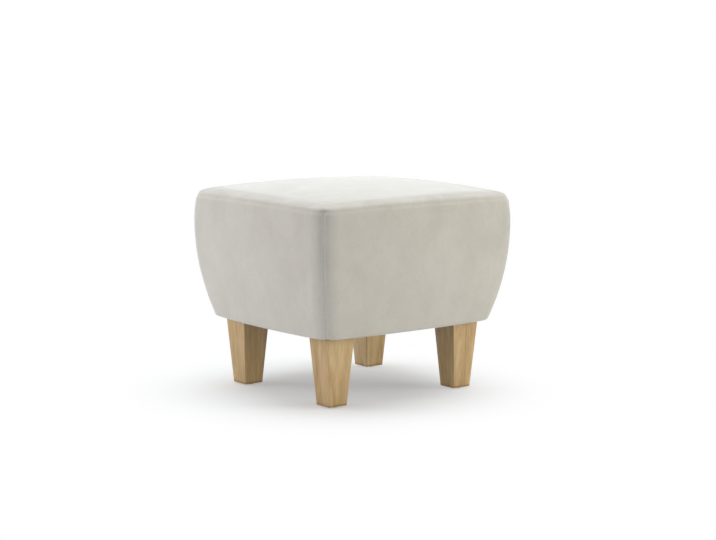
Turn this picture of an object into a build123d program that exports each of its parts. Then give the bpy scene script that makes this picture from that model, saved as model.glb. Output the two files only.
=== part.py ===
from build123d import *

import math
import os

# An upholstered stool, in millimetres. Z is up and the origin is on the floor under the
# middle of the seat. The front is the -Y face and the left side is the -X face.

# Body form
BODY_WIDTH = 515.0  # X, across the middle of the sides at their widest level
BODY_DEPTH = 487.0  # Y, likewise
STOOL_HEIGHT = 415.0  # floor to the crown of the seat
UNDERSIDE_LEVEL = 142.0  # floor to the hem of the cover
WIDEST_DROP = 75.0  # crown to the level where the body is widest
SEAM_DROP = 20.0  # crown to the top seam, at the middle of the left and right sides
SEAM_CURVE_RADIUS = 5000.0  # the top seam lies on a sphere, a little lower at the corners
SIDE_PROFILE_RADIUS = 640.0  # upright curve of the sides
SIDE_BOW = 9.0  # middle of each side beyond its corners, in plan
CORNER_RADIUS = 60.0
CROWN_RISE = 10.0  # crown above the top edge at the middle of the left and right sides
TOP_EDGE_RADIUS = 18.0
LEAST_EDGE_RADIUS = 2.0  # top edge of a layer too deep inside to follow the cover's
BOTTOM_EDGE_RADIUS = 8.0
BODY_SECTIONS = 6  # plan outlines that the sides are drawn through

# Upholstery
COVER_THICKNESS = 1.2
WADDING_THICKNESS = 8.0
SEAT_FOAM_THICKNESS = 63.0  # in the middle, under the crown
SIDE_FOAM_LEAST = 11.0  # side foam at its thinnest, beside the base board
FELT_THICKNESS = 3.0
LAYER_GAP = 0.2  # between layers that lie on each other's curved faces
HEM_OVERLAP = 10.0  # hem turned in under the base board
DUST_COVER_THICKNESS = 0.5
DUST_COVER_LAP = 9.0  # dust cover over the hem

# Frame
BASE_BOARD_THICKNESS = 18.0
SIDE_PANEL_THICKNESS = 3.0
CORNER_PACKING = 30.0  # the frame's corner radius is this much less than the cover's
POST_FLAT = 15.0  # flat part of a post's outer faces, beside its round corner
RAIL_THICKNESS = 22.0
RAIL_HEIGHT = 60.0

# Seat springs
SPRING_COUNT = 4
SPRING_END_MARGIN = 37.0  # middle of the first and last spring from the posts
SPRING_SETBACK = 11.0  # end bars inside the outer faces of the rails
SPRING_WIRE = 3.6
SPRING_BARS = 16  # straight bars across each spring, its two end bars included
SPRING_BAR_LENGTH = 23.0  # straight part of a bar, between its bends
CLIP_STRIP = 1.2
CLIP_END_MARGIN = 3.5  # clip inside the straight part of its bar, at each end
CLIP_TAIL = 7.0  # flat tail that the nail goes through
CLIP_GAP = 0.3  # between the wire and the clip

# Legs
LEG_TOP_SIZE = 64.5
LEG_FOOT_SIZE = 43.0
LEG_ARRIS_RADIUS = 2.0
LEG_EDGE_MARGIN = 2.0  # leg's outer faces inside the edge of the hem
GLIDE_DIAMETER = 24.0
GLIDE_THICKNESS = 3.0

# Fasteners
FIT_GAP = 0.1  # radial gap between a fastener and its hole
BOLT_DIAMETER = 8.0
BOLT_DEPTH = 40.0  # bolt screwed into the leg
INSERT_DIAMETER = 12.0
INSERT_COVER = 2.0  # board left above a threaded insert
DOWEL_DIAMETER = 8.0
DOWEL_LENGTH = 40.0
DOWEL_SPACING = 30.0
SCREW_DIAMETER = 4.5
SCREW_HEAD_DIAMETER = 9.0
SCREW_LENGTH = 50.0
SCREW_SPACING = 24.0  # between the two screws in a post
NAIL_DIAMETER = 2.2
NAIL_HEAD_DIAMETER = 5.0
NAIL_HEAD_THICKNESS = 1.0
NAIL_LENGTH = 16.0
STAPLE_WIDTH = 10.0
STAPLE_WIRE = 0.8
STAPLE_DEPTH = 6.0  # staple driven into the base board
STAPLE_SETOUT = 5.0  # staple outside the inner edge of the hem
STAPLES_PER_SIDE = 7
STAPLE_END_MARGIN = 25.0  # first staple from the end of the hem's inner edge

# Layers, as distances inside the outer face of the cover
FOAM_SKIN = COVER_THICKNESS + LAYER_GAP
SEAT_FOAM_SKIN = FOAM_SKIN + WADDING_THICKNESS + LAYER_GAP

# Levels, from the floor up
WIDEST_LEVEL = STOOL_HEIGHT - WIDEST_DROP
SEAM_LEVEL = STOOL_HEIGHT - SEAM_DROP
SEAT_FOAM_LEVEL = STOOL_HEIGHT - SEAT_FOAM_SKIN - SEAT_FOAM_THICKNESS
HEM_TOP = UNDERSIDE_LEVEL + COVER_THICKNESS
BASE_LEVEL = UNDERSIDE_LEVEL + FOAM_SKIN
LEG_TOP_LEVEL = BASE_LEVEL - DUST_COVER_THICKNESS
BASE_TOP = BASE_LEVEL + BASE_BOARD_THICKNESS
CLIP_BORE = SPRING_WIRE + 2 * CLIP_GAP
FELT_LEVEL = SEAT_FOAM_LEVEL - FELT_THICKNESS
RAIL_TOP = FELT_LEVEL - LAYER_GAP - 2 * CLIP_STRIP - CLIP_BORE
SPRING_LEVEL = RAIL_TOP + CLIP_STRIP + CLIP_BORE / 2


def stand_in(level):
    """How far the sides stand in from their widest level at another height."""
    rise = level - WIDEST_LEVEL
    return SIDE_PROFILE_RADIUS - math.sqrt(SIDE_PROFILE_RADIUS**2 - rise**2)


# Frame plan: straight sides that leave the least side foam at the base board
FRAME_INSET = (
    max(stand_in(BASE_LEVEL), stand_in(SEAT_FOAM_LEVEL))
    + SIDE_BOW
    + FOAM_SKIN
    + SIDE_FOAM_LEAST
    + LAYER_GAP
    + SIDE_PANEL_THICKNESS
)
FRAME_X = BODY_WIDTH / 2 - FRAME_INSET
FRAME_Y = BODY_DEPTH / 2 - FRAME_INSET
FRAME_CORNER_RADIUS = CORNER_RADIUS - CORNER_PACKING
POST_SIZE = FRAME_CORNER_RADIUS + POST_FLAT
SPRING_END_Y = FRAME_Y - SPRING_SETBACK
HEM_X = FRAME_X - HEM_OVERLAP
HEM_Y = FRAME_Y - HEM_OVERLAP
LEG_X = HEM_X - LEG_EDGE_MARGIN - LEG_TOP_SIZE / 2
LEG_Y = HEM_Y - LEG_EDGE_MARGIN - LEG_TOP_SIZE / 2

CORNERS = {
    "front_left": (-1, -1),
    "front_right": (1, -1),
    "rear_left": (-1, 1),
    "rear_right": (1, 1),
}
SIDE_TURNS = {"front": 0, "right": 90, "rear": 180, "left": 270}


# Small helpers


def slab(low, high):
    """Everything between two heights."""
    return Pos(0, 0, (low + high) / 2) * Box(2 * BODY_WIDTH, 2 * BODY_DEPTH, high - low)


def block(x_range, y_range, z_range):
    """A box from its lower and upper limit along each axis."""
    lows, highs = zip(x_range, y_range, z_range)
    middle = [(low + high) / 2 for low, high in zip(lows, highs)]
    return Pos(*middle) * Box(*(high - low for low, high in zip(lows, highs)))


def plate(half_x, half_y, low, high):
    """A square-cornered plate about the upright axis."""
    return block((-half_x, half_x), (-half_y, half_y), (low, high))


def rounded_plate(half_x, half_y, radius, low, high):
    """A round-cornered plate about the upright axis."""
    plan = RectangleRounded(2 * half_x, 2 * half_y, radius)
    return extrude(Pos(0, 0, low) * plan, high - low)


def turned(*outline):
    """A solid turned about Z from its half outline, given as (radius, height) points."""
    return revolve(Plane.XZ * make_face(Polyline(*outline, close=True)), Axis.Z)


def rod(diameter, low, high):
    """An upright round rod."""
    return Pos(0, 0, (low + high) / 2) * Cylinder(diameter / 2, high - low)


def group(pieces):
    """Separate solids kept together in one node."""
    return Part() + pieces


def at_legs(piece):
    """A copy of a piece on the centre line of each leg."""
    return [Pos(x * LEG_X, y * LEG_Y, 0) * piece for x, y in CORNERS.values()]


def side_lengths(side):
    """Half of the frame's length along a side, and that side's distance from the middle."""
    return (FRAME_X, FRAME_Y) if side in ("front", "rear") else (FRAME_Y, FRAME_X)


# Upholstered body


def body_outline(level, skin):
    """Plan outline of the body at one height: four bowed sides with round corners."""
    half_x = BODY_WIDTH / 2 - stand_in(level) - skin
    half_y = BODY_DEPTH / 2 - stand_in(level) - skin
    corner_x = half_x - SIDE_BOW
    corner_y = half_y - SIDE_BOW
    with BuildSketch(Plane.XY.offset(level)) as plan:
        with BuildLine():
            ThreePointArc((-corner_x, -corner_y), (0, -half_y), (corner_x, -corner_y))
            ThreePointArc((corner_x, -corner_y), (half_x, 0), (corner_x, corner_y))
            ThreePointArc((corner_x, corner_y), (0, half_y), (-corner_x, corner_y))
            ThreePointArc((-corner_x, corner_y), (-half_x, 0), (-corner_x, -corner_y))
        make_face()
        fillet(plan.vertices(), CORNER_RADIUS - skin)
    return plan.sketch


def body(skin):
    """The body at a distance inside the cover's face: curved sides, crowned and rolled top."""
    low = UNDERSIDE_LEVEL + skin
    step = (STOOL_HEIGHT - low) / (BODY_SECTIONS - 1)
    solid = loft([body_outline(low + index * step, skin) for index in range(BODY_SECTIONS)])
    crown_radius = ((BODY_WIDTH / 2) ** 2 + CROWN_RISE**2) / (2 * CROWN_RISE)
    solid = solid & Pos(0, 0, STOOL_HEIGHT - crown_radius) * Sphere(crown_radius - skin)
    crown = solid.faces().sort_by(Axis.Z)[-1]
    return fillet(crown.edges(), max(TOP_EDGE_RADIUS - skin, LEAST_EDGE_RADIUS))


def rounded_underneath(solid, skin):
    """The body with its bottom edge rounded."""
    underside = solid.faces().sort_by(Axis.Z)[0]
    return fillet(underside.edges(), BOTTOM_EDGE_RADIUS - skin)


def side_wedge(side):
    """The quarter of the plan that belongs to one side, parted along the corners' diagonals."""
    apex = (BODY_WIDTH - BODY_DEPTH) / 2
    if side in ("left", "right"):
        apex = -apex
    reach = BODY_WIDTH + BODY_DEPTH
    plan = Polygon((0, apex), (-reach, apex - reach), (reach, apex - reach), align=None)
    return Rot(0, 0, SIDE_TURNS[side]) * extrude(plan, STOOL_HEIGHT)


def cover_panels(outer, lining, staple_slots):
    """Top panel and four side panels, whose hem turns in under the base board."""
    skin = outer - lining
    seam_centre = SEAM_LEVEL - math.sqrt(SEAM_CURVE_RADIUS**2 - (BODY_WIDTH / 2) ** 2)
    below_seam = Pos(0, 0, seam_centre) * Sphere(SEAM_CURVE_RADIUS)
    hem_opening = plate(HEM_X, HEM_Y, UNDERSIDE_LEVEL, HEM_TOP)
    band = (skin & below_seam) - hem_opening - staple_slots
    panels = {f"cover_{side}": band & side_wedge(side) for side in SIDE_TURNS}
    panels["cover_top"] = skin - below_seam
    return panels


def side_foams(filling):
    """Contour-cut foam round the frame, mitred at the corners."""
    cavity = rounded_plate(
        FRAME_X + LAYER_GAP,
        FRAME_Y + LAYER_GAP,
        FRAME_CORNER_RADIUS + LAYER_GAP,
        BASE_LEVEL,
        SEAT_FOAM_LEVEL,
    )
    rooms = [side_panel(side, LAYER_GAP) for side in SIDE_TURNS]
    ring = (filling & slab(BASE_LEVEL, SEAT_FOAM_LEVEL)) - cavity - rooms
    return {f"side_foam_{side}": ring & side_wedge(side) for side in SIDE_TURNS}


def seat_layers(filling):
    """Seat foam block and the wadding that wraps its top and edges."""
    above = slab(SEAT_FOAM_LEVEL, STOOL_HEIGHT)
    foam = body(SEAT_FOAM_SKIN) & above
    room = body(FOAM_SKIN + WADDING_THICKNESS) & above
    return {"seat_foam": foam, "seat_wadding": (filling & above) - room}


def dust_cover():
    """Cloth under the base board, stepped down over the inner edge of the hem."""
    lap_low = UNDERSIDE_LEVEL - DUST_COVER_THICKNESS
    edge_x = HEM_X - LAYER_GAP
    edge_y = HEM_Y - LAYER_GAP
    inner_x = edge_x - DUST_COVER_THICKNESS
    inner_y = edge_y - DUST_COVER_THICKNESS
    lap = plate(HEM_X + DUST_COVER_LAP, HEM_Y + DUST_COVER_LAP, lap_low, UNDERSIDE_LEVEL)
    middle = plate(edge_x, edge_y, lap_low, BASE_LEVEL)
    hollow = plate(inner_x, inner_y, lap_low, LEG_TOP_LEVEL)
    bolt_holes = at_legs(rod(BOLT_DIAMETER + 2 * FIT_GAP, lap_low, BASE_LEVEL))
    return lap + middle - hollow - bolt_holes


def staple(gap):
    """One staple under the hem, crown along X, or its slots with a gap round the wire."""
    crown_top = UNDERSIDE_LEVEL - DUST_COVER_THICKNESS
    low = crown_top - STAPLE_WIRE
    half = STAPLE_WIDTH / 2
    wire = STAPLE_WIRE / 2 + gap
    top = BASE_LEVEL + STAPLE_DEPTH + gap
    crown = block((-half, half), (-wire, wire), (low, crown_top))
    left = block((-half - gap, -half + STAPLE_WIRE + gap), (-wire, wire), (low, top))
    right = block((half - STAPLE_WIRE - gap, half + gap), (-wire, wire), (low, top))
    return crown + left + right


def all_staples(gap):
    """Staples along the hem on all four sides."""
    one = staple(gap)
    staples = []
    for side, turn in SIDE_TURNS.items():
        half_length, distance = side_lengths(side)
        reach = half_length - HEM_OVERLAP - STAPLE_END_MARGIN
        line = distance - HEM_OVERLAP + STAPLE_SETOUT
        step = 2 * reach / (STAPLES_PER_SIDE - 1)
        for index in range(STAPLES_PER_SIDE):
            staples.append(Rot(0, 0, turn) * Pos(index * step - reach, -line, 0) * one)
    return staples


# Frame


def side_panel(side, gap=0.0):
    """Thin hardboard over the posts and rails on one side, or the room for it in the foam."""
    half_length, distance = side_lengths(side)
    half_width = half_length - FRAME_CORNER_RADIUS + gap
    panel = block(
        (-half_width, half_width),
        (-distance - SIDE_PANEL_THICKNESS - gap, -distance),
        (BASE_LEVEL, RAIL_TOP + gap),
    )
    return Rot(0, 0, SIDE_TURNS[side]) * panel


def base_board(staple_slots):
    """Plywood base with holes for the threaded inserts, the post screws and the staples."""
    board = rounded_plate(FRAME_X, FRAME_Y, FRAME_CORNER_RADIUS, BASE_LEVEL, BASE_TOP)
    insert_holes = at_legs(threaded_insert(FIT_GAP, bore=0.0))
    return board - insert_holes - post_screws(FIT_GAP) - staple_slots


def corner_post(x, y):
    """Upright post with a round outer corner, bored for its dowels and screws."""
    middle_x = x * (FRAME_X - POST_SIZE / 2)
    middle_y = y * (FRAME_Y - POST_SIZE / 2)
    frame = rounded_plate(FRAME_X, FRAME_Y, FRAME_CORNER_RADIUS, BASE_TOP, RAIL_TOP)
    corner = Pos(middle_x, middle_y, (BASE_TOP + RAIL_TOP) / 2)
    post = frame & corner * Box(POST_SIZE, POST_SIZE, RAIL_TOP - BASE_TOP)
    return post - rail_dowels(FIT_GAP) - post_screws(FIT_GAP)


def seat_rail(side):
    """Rail between two posts, bored for its dowels and for the nails of the spring clips."""
    half_length, distance = side_lengths(side)
    half_width = half_length - POST_SIZE
    rail = block(
        (-half_width, half_width),
        (-distance, -distance + RAIL_THICKNESS),
        (RAIL_TOP - RAIL_HEIGHT, RAIL_TOP),
    )
    rail = Rot(0, 0, SIDE_TURNS[side]) * rail
    return rail - rail_dowels(FIT_GAP) - clip_nails(FIT_GAP)


def rail_dowels(gap=0.0):
    """Two dowels at each end of each rail, or their holes."""
    dowel = Rot(0, 90, 0) * Cylinder(DOWEL_DIAMETER / 2 + gap, DOWEL_LENGTH + 2 * gap)
    rail_middle = RAIL_TOP - RAIL_HEIGHT / 2
    heights = (rail_middle - DOWEL_SPACING / 2, rail_middle + DOWEL_SPACING / 2)
    dowels = []
    for side, turn in SIDE_TURNS.items():
        half_length, distance = side_lengths(side)
        line = distance - RAIL_THICKNESS / 2
        for end in (-1, 1):
            for height in heights:
                place = Pos(end * (half_length - POST_SIZE), -line, height)
                dowels.append(Rot(0, 0, turn) * place * dowel)
    return dowels


def post_screws(gap=0.0):
    """Two countersunk screws up through the base board into each post, or their holes."""
    shank = SCREW_DIAMETER / 2 + gap
    head = SCREW_HEAD_DIAMETER / 2 + gap
    head_depth = (SCREW_HEAD_DIAMETER - SCREW_DIAMETER) / 2
    tip = SCREW_LENGTH + gap
    screw = turned((0, 0), (head, 0), (shank, head_depth), (shank, tip - SCREW_DIAMETER), (0, tip))
    offset = SCREW_SPACING / 2 / math.sqrt(2)
    screws = []
    for x, y in CORNERS.values():
        middle_x = x * (FRAME_X - POST_SIZE / 2)
        middle_y = y * (FRAME_Y - POST_SIZE / 2)
        for way in (-1, 1):
            place = Pos(middle_x + way * x * offset, middle_y - way * y * offset, BASE_LEVEL)
            screws.append(place * screw)
    return screws


# Seat springs


def spring_places():
    """X of each spring."""
    last = FRAME_X - POST_SIZE - SPRING_END_MARGIN
    spacing = 2 * last / (SPRING_COUNT - 1)
    return [index * spacing - last for index in range(SPRING_COUNT)]


def zigzag_spring():
    """One wire bent to and fro across the seat, from the front rail to the rear rail."""
    pitch = 2 * SPRING_END_Y / (SPRING_BARS - 1)
    reach = SPRING_BAR_LENGTH / 2
    path = []
    for bar in range(SPRING_BARS):
        y = bar * pitch - SPRING_END_Y
        end = reach if bar % 2 == 0 else -reach
        bulge = math.copysign(pitch / 2, end)
        path.append(Line((-end, y), (end, y)))
        if bar < SPRING_BARS - 1:
            turn = ThreePointArc((end, y), (end + bulge, y + pitch / 2), (end, y + pitch))
            path.append(turn)
    section = Plane(origin=(-reach, -SPRING_END_Y, 0), z_dir=(1, 0, 0)) * Circle(SPRING_WIRE / 2)
    return Pos(0, 0, SPRING_LEVEL) * sweep(section, path=Wire(path))


def clip_nail_distance():
    """Distance of a clip's nail outside the end bar of its spring."""
    return CLIP_BORE / 2 + CLIP_STRIP + CLIP_TAIL / 2


def at_clips(piece):
    """A copy of a piece at both ends of each spring, its -Y side outward."""
    places = []
    for x in spring_places():
        for turn in (0, 180):
            places.append(Pos(x, 0, 0) * Rot(0, 0, turn) * Pos(0, -SPRING_END_Y, 0) * piece)
    return places


def spring_clips():
    """Metal saddles over the end bars of the springs, each with a flat tail for its nail."""
    outer = CLIP_BORE / 2 + CLIP_STRIP
    saddle = Circle(outer) + Pos(0, -outer / 2) * Rectangle(2 * outer, outer)
    tail_length = outer + CLIP_TAIL
    tail_height = CLIP_STRIP - outer
    tail = Pos(-tail_length / 2, (tail_height - outer) / 2) * Rectangle(tail_length, CLIP_STRIP)
    profile = saddle + tail - Circle(CLIP_BORE / 2)
    clip = extrude(Plane.YZ * profile, SPRING_BAR_LENGTH / 2 - CLIP_END_MARGIN, both=True)
    clip = Pos(0, 0, SPRING_LEVEL) * clip
    return group([piece - clip_nails(FIT_GAP) for piece in at_clips(clip)])


def headed_nail(gap):
    """A nail that points down, with the underside of its head at height zero."""
    shank = NAIL_DIAMETER / 2 + gap
    head = NAIL_HEAD_DIAMETER / 2
    tip = -NAIL_LENGTH - gap
    return turned(
        (0, tip),
        (shank, tip + NAIL_DIAMETER),
        (shank, 0),
        (head, 0),
        (head, NAIL_HEAD_THICKNESS),
        (0, NAIL_HEAD_THICKNESS),
    )


def clip_nails(gap=0.0):
    """One nail through the tail of each spring clip into its rail, or its hole."""
    nail = Pos(0, -clip_nail_distance(), RAIL_TOP + CLIP_STRIP) * headed_nail(gap)
    return at_clips(nail)


def spring_felt():
    """Felt laid over the springs, under the seat foam."""
    return rounded_plate(FRAME_X, FRAME_Y, FRAME_CORNER_RADIUS, FELT_LEVEL, SEAT_FOAM_LEVEL)


# Legs


def leg():
    """Square wooden leg, tapered on all four faces, bored for its bolt and its glide nail."""
    foot = RectangleRounded(LEG_FOOT_SIZE, LEG_FOOT_SIZE, LEG_ARRIS_RADIUS)
    top = RectangleRounded(LEG_TOP_SIZE, LEG_TOP_SIZE, LEG_ARRIS_RADIUS)
    solid = loft([Pos(0, 0, GLIDE_THICKNESS) * foot, Pos(0, 0, LEG_TOP_LEVEL) * top], ruled=True)
    return solid - hanger_bolt(FIT_GAP) - glide_nail(FIT_GAP)


def hanger_bolt(gap=0.0):
    """Headless bolt up out of a leg into the base board, pointed at its wood end, or its hole."""
    radius = BOLT_DIAMETER / 2 + gap
    tip = LEG_TOP_LEVEL - BOLT_DEPTH - gap
    end = BASE_TOP - INSERT_COVER
    return turned((0, tip), (radius, tip + BOLT_DIAMETER), (radius, end), (0, end))


def threaded_insert(gap=0.0, bore=BOLT_DIAMETER + 2 * FIT_GAP):
    """Metal sleeve in the base board that takes a leg bolt, or its hole."""
    end = BASE_TOP - INSERT_COVER
    sleeve = rod(INSERT_DIAMETER + 2 * gap, BASE_LEVEL, end)
    return sleeve - rod(bore, BASE_LEVEL, end) if bore else sleeve


def glide_nail(gap=0.0):
    """Nail up through a glide into the foot, its head let into the glide, or its hole."""
    return Pos(0, 0, GLIDE_THICKNESS) * Rot(180, 0, 0) * headed_nail(gap)


def glide():
    """Round plastic glide under a foot, with a seat for the head of its nail."""
    disc = rod(GLIDE_DIAMETER, 0, GLIDE_THICKNESS)
    seat_low = GLIDE_THICKNESS - NAIL_HEAD_THICKNESS - FIT_GAP
    return disc - rod(NAIL_HEAD_DIAMETER + 2 * FIT_GAP, seat_low, GLIDE_THICKNESS)


# Assembly


def stool():
    """Every piece of the stool by name."""
    outer = rounded_underneath(body(0), 0)
    lining = rounded_underneath(body(COVER_THICKNESS), COVER_THICKNESS)
    filling = rounded_underneath(body(FOAM_SKIN), FOAM_SKIN)
    staple_slots = all_staples(FIT_GAP)

    pieces = cover_panels(outer, lining, staple_slots)
    pieces.update(side_foams(filling))
    pieces.update(seat_layers(filling))
    pieces["dust_cover"] = dust_cover() - staple_slots
    pieces["hem_staples"] = group(all_staples(0.0))

    pieces["base_board"] = base_board(staple_slots)
    pieces["post_screws"] = group(post_screws())
    pieces["rail_dowels"] = group(rail_dowels())
    for side in SIDE_TURNS:
        pieces[f"seat_rail_{side}"] = seat_rail(side)
        pieces[f"side_panel_{side}"] = side_panel(side)

    pieces["spring_felt"] = spring_felt()
    pieces["spring_clips"] = spring_clips()
    pieces["clip_nails"] = group(clip_nails())
    spring = zigzag_spring()
    for number, x in enumerate(spring_places(), start=1):
        pieces[f"seat_spring_{number}"] = Pos(x, 0, 0) * spring

    pieces["leg_bolts"] = group(at_legs(hanger_bolt()))
    pieces["leg_inserts"] = group(at_legs(threaded_insert()))
    pieces["glide_nails"] = group(at_legs(glide_nail()))
    for name, (x, y) in CORNERS.items():
        place = Pos(x * LEG_X, y * LEG_Y, 0)
        pieces[f"corner_post_{name}"] = corner_post(x, y)
        pieces[f"leg_{name}"] = place * leg()
        pieces[f"glide_{name}"] = place * glide()
    return pieces


os.makedirs("parts", exist_ok=True)
for node, shape in stool().items():
    export_step(shape, f"parts/{node}.step")
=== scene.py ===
import math

import bpy
import numpy as np
from mathutils import Matrix, Vector, noise
from mathutils.bvhtree import BVHTree


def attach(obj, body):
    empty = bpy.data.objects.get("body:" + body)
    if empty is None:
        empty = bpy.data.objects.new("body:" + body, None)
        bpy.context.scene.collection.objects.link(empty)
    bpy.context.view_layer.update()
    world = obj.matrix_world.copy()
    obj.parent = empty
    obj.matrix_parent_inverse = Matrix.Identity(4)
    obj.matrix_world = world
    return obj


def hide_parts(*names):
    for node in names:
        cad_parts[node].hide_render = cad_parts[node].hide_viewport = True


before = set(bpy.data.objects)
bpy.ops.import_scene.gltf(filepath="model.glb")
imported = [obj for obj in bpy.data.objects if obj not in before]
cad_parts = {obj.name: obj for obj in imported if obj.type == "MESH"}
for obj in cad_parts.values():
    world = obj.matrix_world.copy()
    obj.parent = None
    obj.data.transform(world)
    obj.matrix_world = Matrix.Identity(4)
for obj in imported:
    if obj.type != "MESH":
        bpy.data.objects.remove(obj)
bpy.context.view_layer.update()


def srgb(red, green, blue):
    """Linear colour of an 8-bit screen colour."""
    def linear(value):
        share = value / 255
        return share / 12.92 if share <= 0.04045 else ((share + 0.055) / 1.055) ** 2.4
    return linear(red), linear(green), linear(blue), 1.0


# Form of the cover in metres, near that of the solids
BODY_WIDTH = 0.515
BODY_DEPTH = 0.487
STOOL_HEIGHT = 0.415
UNDERSIDE_LEVEL = 0.142
WIDEST_LEVEL = 0.340
SEAM_LEVEL = 0.395
SEAM_CURVE_RADIUS = 5.0
LOWER_PROFILE_RADIUS = 0.634
UPPER_PROFILE_RADIUS = 0.300
SIDE_BOW = 0.0134
CORNER_RADIUS = 0.045
CROWN_RISE = 0.0074
EDGE_REACH = 0.042
EDGE_DROP = 0.0138
BOTTOM_EDGE_RADIUS = 0.008
HEM_X = 0.191955
HEM_Y = 0.177955
COVER_THICKNESS = 0.0012
CROWN_RADIUS = ((BODY_WIDTH / 2) ** 2 + CROWN_RISE**2) / (2 * CROWN_RISE)
SEAM_CENTRE = SEAM_LEVEL - math.sqrt(SEAM_CURVE_RADIUS**2 - (BODY_WIDTH / 2) ** 2)

# Quarter turns of each side from the front
SIDE_TURNS = {"front": 0, "right": 1, "rear": 2, "left": 3}

# Mesh of the cover, with rows packed close to the seam
WIDE_COLUMNS = 112
DEEP_COLUMNS = 106
SEAM_ROWS = (0.0, 0.0008, 0.0016, 0.0026, 0.0038, 0.0052, 0.0068, 0.0085, 0.0103, 0.0124, 0.015)
ROW_STEP = 0.004
ROUND_ROWS = 5
HEM_ROWS = 6
RING_ROWS = 9
ROLL_STEPS = 300

# Rounds that settle a height which depends on its own inset
SEAM_PASSES = 3
EDGE_PASSES = 5

# Sewing of the cover
TOP_SEAM_DEPTH = 0.0016
TOP_SEAM_WIDTH = 0.008
CORNER_SEAM_DEPTH = 0.00015
CORNER_SEAM_WIDTH = 0.003
CORNER_BAND_HALF = 0.008
CORNER_PINCH = 0.0016
PINCH_WIDTH = 0.007
PINCH_TOP_SHARE = 0.5
ALLOWANCE_RISE = 0.0003
ALLOWANCE_START = 0.001
ALLOWANCE_WIDTH = 0.016
ALLOWANCE_ROUNDNESS = 0.7
PUCKER_DEPTH = 0.0005
PUCKER_LENGTH = 0.013
PUCKER_UPRIGHT = 0.3
PUCKER_PLACE = 7.3
PUCKER_FADE = 0.012
PUCKER_CLEAR = 0.003
CORNER_PUCKER = 0.6

# Swelling of the cover by cloth simulation
SWELL_START = 0.001
SWELL_HOLD = 0.3
SWELL_PINNED = 0.002
SWELL_MARGIN = 0.022
SWELL_CAP = 0.005
SWELL_FRAMES = 12
LEAST_SHIFT = 1e-9
FAR_FROM_SEAM = 1.0
CLOTH_SETTINGS = {
    "quality": 4,
    "mass": 0.3,
    "tension_stiffness": 30,
    "compression_stiffness": 30,
    "shear_stiffness": 12,
    "bending_stiffness": 2,
    "air_damping": 5,
    "use_pressure": True,
    "uniform_pressure_force": 4.0,
    "shrink_min": -0.002,
}

# Soft pieces under the cover
PAD_NODES = (
    "side_foam_front", "side_foam_right", "side_foam_rear", "side_foam_left",
    "seat_foam", "seat_wadding", "spring_felt",
)
PAD_VOXEL = 0.004
PAD_DEPTH = 0.0022

# Dust cover
DUST_LAP = 0.009
DUST_STEP = 0.003
DUST_STEP_START = 0.0005
DUST_LAP_LEVEL = 0.1420
DUST_LEVEL = 0.1434
DUST_THICKNESS = 0.0005
DUST_COLUMNS = 97
RIPPLE_SCALE = 55
RIPPLE_PLACE = 3.1
SLACK_REACH = 0.02
SLACK_DEPTH = 0.0004
LEG_X = 0.157705
LEG_Y = 0.143705
BOLT_CLEARANCE = 0.007

# Velvet
VELVET_DARK = srgb(182, 177, 168)
VELVET_MIDDLE = srgb(197, 192, 184)
VELVET_LIGHT = srgb(222, 218, 212)
VELVET_STOPS = (0.28, 0.5, 0.95)
VELVET_SHIFT = 0.12
VELVET_GLOSS = 0.15
VELVET_ROUGHNESS = (0.82, 0.98)
SHEEN_COLOUR = srgb(245, 250, 255)
SHEEN_ROUGHNESS = 0.32
# Painted light: velvet tone added per unit of the normal's X, so faces turned to the left are lighter
PAINTED_LEFT_LIGHT = -0.17
NAP_STRETCH = 0.8
BROAD_SCALE = 13
BROAD_WEIGHT = 0.26
PATCH_SCALE = 28
PATCH_WEIGHT = 0.16
SMALL_SCALE = 150
SMALL_WEIGHT = 0.16
SMALL_RELIEF = 0.3
PILE_SCALE = 1500
PILE_WEIGHT = 0.16
PILE_RELIEF = 0.7
SMUDGE_SCALE = 24
SMUDGE_WEIGHT = 0.42
VELVET_BUMP = 0.35
VELVET_BUMP_DEPTH = 0.0006

# Worn edges of the hard pieces, lightened beyond wear as a painted highlight that hides the shade along
# them
EDGE_SAMPLES = 4
EDGE_RADIUS = 0.0015
EDGE_WEAR_AND_HIGHLIGHT = 5.0

# Wood, with its fibres and pores finer than its growth bands
WOOD_STOPS = (0.3, 0.5, 0.68)
WOOD_GLOSS = 0.35
BAND_WEIGHT = 0.5
FIBRE_FINENESS = 6
FIBRE_WEIGHT = 0.38
FIBRE_RELIEF = 0.5
PORE_FINENESS = 16
PORE_WEIGHT = 0.12
PORE_RELIEF = 0.5
WOOD_ROUGHER = 0.12
WOOD_SMOOTHER = 0.08
WOOD_BUMP = 0.15
WOOD_BUMP_DEPTH = 0.0005
FOOT_DARK_REACH = 0.009
FOOT_DARK = 0.4
GRAIN_UP = (1, 1, 0.06)
GRAIN_ACROSS = (0.06, 1, 1)
GRAIN_PLIES = (0.3, 0.12, 6)
GRAIN_EVEN = (1, 1, 1)

# Foam, wadding, felt and non-woven cloth
SOFT_STOPS = (0.32, 0.68)
SOFT_GLOSS = 0.1
SOFT_ROUGHNESS = (0.85, 1.0)
SOFT_FINE_WEIGHT = 0.6
SOFT_MOTTLE_WEIGHT = 0.4
SOFT_MOTTLE_SIZE = 14
SOFT_BUMP = 0.6

# Steel
METAL_STOPS = (0.3, 0.7)
MARK_SCALE = 420
MARK_WEIGHT = 0.5
CLOUD_SCALE = 60
CLOUD_WEIGHT = 0.5
METAL_SMOOTHER = 0.08
METAL_ROUGHER = 0.14
METAL_BUMP = 0.1
METAL_BUMP_DEPTH = 0.0002

# Plastic
PLASTIC_STOPS = (0.35, 0.7)
PLASTIC_GLOSS = 0.4
PLASTIC_ROUGHNESS = (0.45, 0.7)
GRAIN_SCALE = 1800
GRAIN_WEIGHT = 0.4
SCUFF_SCALE = 130
SCUFF_WEIGHT = 0.6
PLASTIC_BUMP = 0.2
PLASTIC_BUMP_DEPTH = 0.0003

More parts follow.
